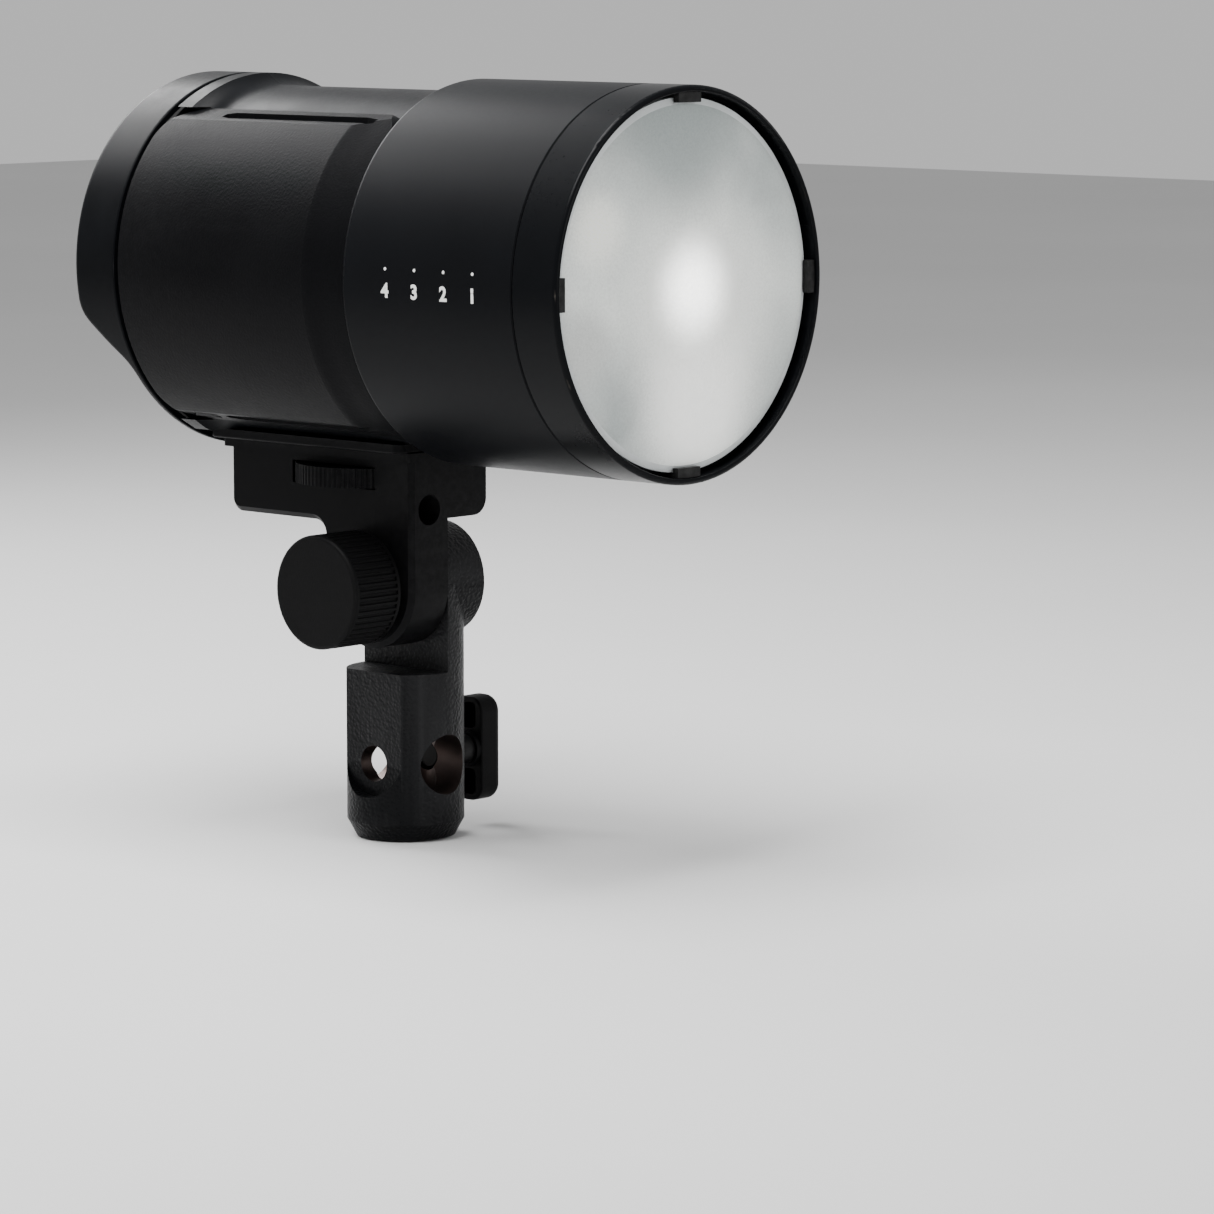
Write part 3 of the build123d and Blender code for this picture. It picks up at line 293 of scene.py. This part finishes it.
M = {
    "hammered_paint": hammered("hammered_black_enamel", (0.0030, 0.0032, 0.0037), 0.36),
    "housing_satin": surface("satin_black_housing", (0.0024, 0.0027, 0.0034), 0.38, grain=(2600.0, 0.10, 0.00005), wear=(0.56, 0.68), wear_col=(0.02, 0.02, 0.021), spec=0.055),
    "barrel_satin": surface("smooth_satin_barrel", (0.0026, 0.0029, 0.0037), 0.40, grain=(3800.0, 0.05, 0.00003), wear=(0.56, 0.68), wear_col=(0.02, 0.02, 0.021), rough_var=0.03, spec=0.06, scale=18.0, var=0.12),
    "bezel_gloss": surface("semi_gloss_bezel", (0.0022, 0.0025, 0.0032), 0.30, grain=(3800.0, 0.04, 0.00003), wear=(0.56, 0.66), wear_col=(0.05, 0.045, 0.04), rough_var=0.03, spec=0.065, scale=18.0, var=0.12),
    "battery_grain": surface("powder_grain_battery", (0.0028, 0.0029, 0.0034), 0.40, grain=(1500.0, 0.50, 0.00012), wear=(0.55, 0.66), wear_col=(0.010, 0.010, 0.0105), spec=0.045, scale=30.0, var=0.12),
    "black_anodised": surface("black_anodised_metal", (0.0026, 0.0026, 0.0030), 0.42, grain=(2400.0, 0.18, 0.00006), wear=(0.55, 0.66), wear_col=(0.011, 0.011, 0.0115), spec=0.06, scale=40.0, var=0.15),
    "black_nylon": surface("moulded_black_nylon", (0.0030, 0.0030, 0.0032), 0.52, grain=(2100.0, 0.40, 0.0001), wear=(0.56, 0.68), wear_col=(0.009, 0.009, 0.0093), spec=0.07, scale=40.0, var=0.15),
    "black_steel": surface("black_oxide_steel", (0.0042, 0.0042, 0.0044), 0.38, grain=(1800.0, 0.15, 0.00006), wear=(0.54, 0.66), wear_col=(0.02, 0.02, 0.02), spec=0.14),
    "black_rubber": surface("soft_black_rubber", (0.0070, 0.0070, 0.0070), 0.66, grain=(1500.0, 0.45, 0.00012), wear=(0.56, 0.68), wear_col=(0.018, 0.018, 0.018), spec=0.25),
    "soft_button": surface("satin_button_rubber", (0.028, 0.028, 0.030), 0.50, grain=(1500.0, 0.3, 0.0001), wear=(0.55, 0.66), wear_col=(0.06, 0.06, 0.06), spec=0.3),
    "inner_plastic": surface("plain_inner_plastic", (0.012, 0.012, 0.013), 0.55, grain=(1200.0, 0.35, 0.00012), spec=0.25),
    "panel_gloss": surface("gloss_control_panel", (0.0045, 0.0045, 0.0055), 0.16, coat=0.4, coat_rough=0.06, rough_var=0.04, spec=0.3, var=0.1),
    "display_cell": surface("display_cell", (0.055, 0.065, 0.068), 0.30, rough_var=0.05, var=0.1, scale=30.0),
    "circuit_board": surface("solder_mask", (0.02, 0.10, 0.045), 0.38, grain=(700.0, 0.3, 0.00015), var=0.3),
    "ceramic": surface("white_ceramic", (0.78, 0.76, 0.72), 0.42, var=0.06, grain=(900.0, 0.2, 0.0001)),
    "led_yellow": surface("led_phosphor", (0.75, 0.60, 0.16), 0.30, var=0.12, coat=0.5),
    "capacitor_sleeve": surface("capacitor_sleeve", (0.03, 0.035, 0.09), 0.28, var=0.15, coat=0.3),
    "cell_wrap": surface("cell_wrap", (0.10, 0.24, 0.46), 0.30, var=0.12, coat=0.3),
    "friction_fibre": surface("pressed_fibre", (0.10, 0.075, 0.06), 0.72, grain=(1300.0, 0.6, 0.0002)),
    "zinc_steel": turned_metal("zinc_plated_steel", (0.50, 0.49, 0.47), 0.34, 0),
    "inner_metal": turned_metal("stamped_metal", (0.52, 0.52, 0.52), 0.36, 1),
    "brass_insert": turned_metal("turned_brass", (0.70, 0.52, 0.24), 0.34, 0),
    "bare_aluminium": turned_metal("cast_aluminium", (0.66, 0.66, 0.66), 0.42, 1),
    "mirror_aluminium": turned_metal("polished_reflector", (0.86, 0.86, 0.85), 0.20, 1),
    "frosted_glass": frosted("frosted_dome_glass_painted_light"),
    "clear_glass": glass("clear_quartz", (0.95, 0.96, 0.97)),
    "display_glass": glass("smoked_window", (0.16, 0.17, 0.19), 0.04, 0.75),
}
BARE = turned_metal("bare_bore_metal", (0.105, 0.080, 0.074), 0.40, 2)
GROUND = surface("ground_glass_edge", (0.62, 0.65, 0.65), 0.45, var=0.15, grain=(1600.0, 0.4, 0.0001))
PRINT = surface("white_print", (0.80, 0.80, 0.78), 0.55, var=0.05, grain=(2500.0, 0.2, 0.00004))
DIMPRINT = surface("grey_print", (0.42, 0.42, 0.42), 0.55, var=0.06, grain=(2500.0, 0.2, 0.00004))
RING = surface("dark_ring", (0.006, 0.006, 0.007), 0.5, grain=(1500.0, 0.3, 0.0001))

SLOT_OF = {s["node"]: s["material_slot"] for s in frame["record"]["subparts"]}
for node, ob in NODES.items():
    mat = M[SLOT_OF[node]]
    ob.data.materials.clear()
    ob.data.materials.append(mat)
    for p in ob.data.polygons:
        p.material_index = 0

# Bare metal inside the socket's bores, ground edge on the glass: by face, on the same mesh.
ss = NODES["stand_socket"]
ss.data.materials.append(BARE)
for p in ss.data.polygons:
    c = p.center
    n = p.normal
    r = math.hypot(c.x, c.y)
    if r < 0.0083 and c.z < 0.0385 and abs(n.z) < 0.3:
        p.material_index = 1
    elif math.hypot(c.x, c.z - 0.020) < 0.0081 and abs(n.y) < 0.2 and r < 0.0154:
        p.material_index = 1
    elif c.x < -0.0075 and math.hypot(c.y, c.z - 0.020) < 0.0049 and abs(n.x) < 0.3:
        p.material_index = 1
fg = NODES["front_glass"]
fg.data.materials.append(GROUND)
for p in fg.data.polygons:
    if math.hypot(p.center.x, p.center.z - HZ) > 0.0453:
        p.material_index = 1


# ---------------------------------------------------------------- detail pieces
def mesh_object(name, bm, mat, body, smooth=True):
    me = bpy.data.meshes.new(name)
    bm.normal_update()
    bm.to_mesh(me)
    bm.free()
    ob = bpy.data.objects.new(name, me)
    bpy.context.scene.collection.objects.link(ob)
    me.materials.append(mat)
    if smooth:
        for p in me.polygons:
            p.use_smooth = True
    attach(ob, body)
    return ob


def text_mesh(s, size, thick):
    """A generic numeral as a bmesh in the XY plane, centred, with a little thickness."""
    cu = bpy.data.curves.new("glyph", "FONT")
    cu.body = s
    cu.size = size
    cu.align_x = "CENTER"
    cu.align_y = "CENTER"
    cu.extrude = thick
    cu.offset = size * 0.035
    cu.resolution_u = 6
    tmp = bpy.data.objects.new("glyph", cu)
    bpy.context.scene.collection.objects.link(tmp)
    dg = bpy.context.evaluated_depsgraph_get()
    me = bpy.data.meshes.new_from_object(tmp.evaluated_get(dg))
    bm = bmesh.new()
    bm.from_mesh(me)
    bpy.data.objects.remove(tmp)
    bpy.data.curves.remove(cu)
    bpy.data.meshes.remove(me)
    bmesh.ops.remove_doubles(bm, verts=bm.verts, dist=1e-7)
    return bm


def add_disc(bm, r, thick, loc, seg=20):
    g = bmesh.ops.create_cone(bm, cap_ends=True, segments=seg, radius1=r, radius2=r, depth=2 * thick)
    bmesh.ops.translate(bm, verts=g["verts"], vec=loc)


def wrap_barrel(bm, y0, z0, r):
    """Bends a flat piece (local x along +Y of the object reversed, y up) round the -X side of the barrel."""
    for v in bm.verts:
        x, y, z = v.co
        phi = (z0 + y - HZ) / r
        rr = r + z
        # seen from -X, the object's front (-Y) is on the viewer's right
        v.co = Vector((-rr * math.cos(phi), y0 - x, HZ + rr * math.sin(phi)))


R_PRINT = R_BODY + 0.00001
for y, s in ((-0.0431, "4"), (-0.0533, "3"), (-0.0634, "2"), (-0.0734, "1")):
    bm = text_mesh(s, 0.0050, 0.00002)
    wrap_barrel(bm, y, 0.1490, R_PRINT)
    mesh_object("scale_numeral_" + s, bm, PRINT, "head", smooth=False)
bm = bmesh.new()
for y in (-0.0431, -0.0533, -0.0634, -0.0734):
    add_disc(bm, 0.00042, 0.00002, (-y, 0.1546 - 0.1546, 0))
for v in bm.verts:
    x, yy, z = v.co
    phi = (0.1546 + yy - HZ) / R_PRINT
    rr = R_PRINT + z
    v.co = Vector((-rr * math.cos(phi), -x, HZ + rr * math.sin(phi)))
mesh_object("scale_dots", bm, PRINT, "head", smooth=False)


# ---------------------------------------------------------------- rear panel print and display
def on_back(bm, x, z, y):
    """Stands a flat piece up on the back, readable from +Y: its local x runs to -X."""
    for v in bm.verts:
        a, b, c = v.co
        v.co = Vector((x - a, y + c, z + b))


Y_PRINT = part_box("rear_panel")[1][1] + 0.00001
ticks = bmesh.new()
for k in range(11):
    a = math.radians(-60 + 24 * k - 60)
    cx, cz = 0.0128 * math.cos(a + math.pi / 2 + math.pi), 0.0128 * math.sin(a + math.pi / 2 + math.pi)
    if cz < 0.0095:
        add_disc(ticks, 0.00032, 0.00002, (cx, cz, 0), 14)
on_back(ticks, 0.0, HZ + 0.007, Y_PRINT)
mesh_object("dial_tick_marks", ticks, PRINT, "head", smooth=False)
ring_bm = bmesh.new()
for bx, bz in ((0.033, 0.009), (-0.033, 0.009), (0.021, 0.005), (-0.021, 0.005)):
    outer, inner = 0.0048, 0.0046
    prev = None
    for k in range(49):
        a = 2 * math.pi * k / 48
        p = [ring_bm.verts.new((bx + r * math.cos(a), bz + r * math.sin(a), h)) for r, h in ((outer, 0.00002), (inner, 0.00002))]
        if prev:
            ring_bm.faces.new((prev[0], p[0], p[1], prev[1]))
        prev = p
bmesh.ops.remove_doubles(ring_bm, verts=ring_bm.verts, dist=1e-7)
on_back(ring_bm, 0.0, HZ, Y_PRINT)
bmesh.ops.recalc_face_normals(ring_bm, faces=ring_bm.faces)
mesh_object("button_rings", ring_bm, DIMPRINT, "head", smooth=False)

lit_m, lit_nt, lit_b = new_mat("display_segments")
lit_n = noise(lit_nt, coords(lit_nt), 900.0)
lit_nt.links.new(ramp(lit_nt, lit_n, [(0.3, (0.72, 0.86, 0.90)), (0.7, (0.80, 0.92, 0.95))]), lit_b.inputs["Base Color"])
lit_nt.links.new(ramp(lit_nt, lit_n, [(0.3, (0.60, 0.78, 0.84)), (0.7, (0.70, 0.88, 0.93))]), lit_b.inputs["Emission Color"])
lit_b.inputs["Emission Strength"].default_value = 1.2
lit_b.inputs["Roughness"].default_value = 0.5
Y_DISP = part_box("display_window")[1][1] + 0.00001
for name, s, size, x, z in (("display_value", "7.0", 0.0150, -0.004, HZ + 0.0240), ("display_channel", "1", 0.0062, 0.0190, HZ + 0.0305), ("display_group", "A", 0.0062, 0.0190, HZ + 0.0185)):
    g = text_mesh(s, size, 0.00001)
    on_back(g, x, z, Y_DISP)
    mesh_object(name, g, lit_m, "head", smooth=False)
bars = bmesh.new()
for k in range(8):
    x0, w, h = -0.0140 + k * 0.0026, 0.0019, 0.0016
    vs = [bars.verts.new((x0 + dx, dz, 0)) for dx, dz in ((0, 0), (w, 0), (w, h), (0, h))]
    bars.faces.new(vs)
on_back(bars, 0.0, HZ + 0.0142, Y_DISP)
bmesh.ops.recalc_face_normals(bars, faces=bars.faces)
mesh_object("display_bar", bars, lit_m, "head", smooth=False)


# ---------------------------------------------------------------- floor, light, camera
def floor():
    bm = bmesh.new()
    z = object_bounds()[0][2] - 0.0005
    bmesh.ops.create_grid(bm, x_segments=8, y_segments=8, size=3.0)
    for v in bm.verts:
        v.co.z = z
    me = bpy.data.meshes.new("studio_floor")
    bm.to_mesh(me)
    bm.free()
    ob = bpy.data.objects.new("studio_floor", me)
    bpy.context.scene.collection.objects.link(ob)
    m, nt, b = new_mat("pale_floor")
    n = noise(nt, coords(nt), 2.0)
    nt.links.new(ramp(nt, n, [(0.3, (0.54, 0.54, 0.54)), (0.7, (0.57, 0.57, 0.57))]), b.inputs["Base Color"])
    b.inputs["Roughness"].default_value = 0.85
    me.materials.append(m)
    return ob


floor()

world = bpy.data.worlds.new("studio")
bpy.context.scene.world = world
world.use_nodes = True
world.node_tree.nodes["Background"].inputs["Color"].default_value = (1.0, 1.0, 1.0, 1.0)
world.node_tree.nodes["Background"].inputs["Strength"].default_value = 0.60


def area(name, loc, target, size, power, size_y=None):
    ld = bpy.data.lights.new(name, "AREA")
    ld.energy = power
    ld.size = size
    if size_y:
        ld.shape = "RECTANGLE"
        ld.size_y = size_y
    ob = bpy.data.objects.new(name, ld)
    bpy.context.scene.collection.objects.link(ob)
    ob.location = loc
    d = Vector(target) - Vector(loc)
    ob.rotation_euler = d.to_track_quat("-Z", "Y").to_euler()
    return ob


area("top_softbox", (-0.20, -0.05, 0.82), (0.0, -0.02, 0.15), 0.42, 17.0, 0.70)
area("back_strip", (0.10, 0.75, 0.62), (0.0, 0.0, 0.17), 0.60, 9.0, 0.22)
area("front_fill", (0.30, -1.30, 0.50), (0.0, -0.10, 0.15), 0.60, 5.0)

cam_d = bpy.data.cameras.new("camera")
cam = bpy.data.objects.new("camera", cam_d)
bpy.context.scene.collection.objects.link(cam)
bpy.context.scene.camera = cam
AZ, PITCH, DIST, F_PX = math.radians(-47.46), math.radians(7.55), 1.34066, 5176.84
right = Vector((0.6761, -0.7368, 0.0)).normalized()
back = Vector((-0.7304, -0.6702, 0.1314)).normalized()
up = back.cross(right).normalized()
right = up.cross(back).normalized()
cam.matrix_world = Matrix.Translation(Vector((-0.9656, -0.9587, 0.2408))) @ Matrix((
    (right.x, up.x, back.x, 0.0), (right.y, up.y, back.y, 0.0), (right.z, up.z, back.z, 0.0), (0.0, 0.0, 0.0, 1.0)))
cam_d.sensor_width = 36.0
cam_d.lens = F_PX * 36.0 / 1214.0
cam_d.clip_start = 0.05
cam_d.clip_end = 20.0
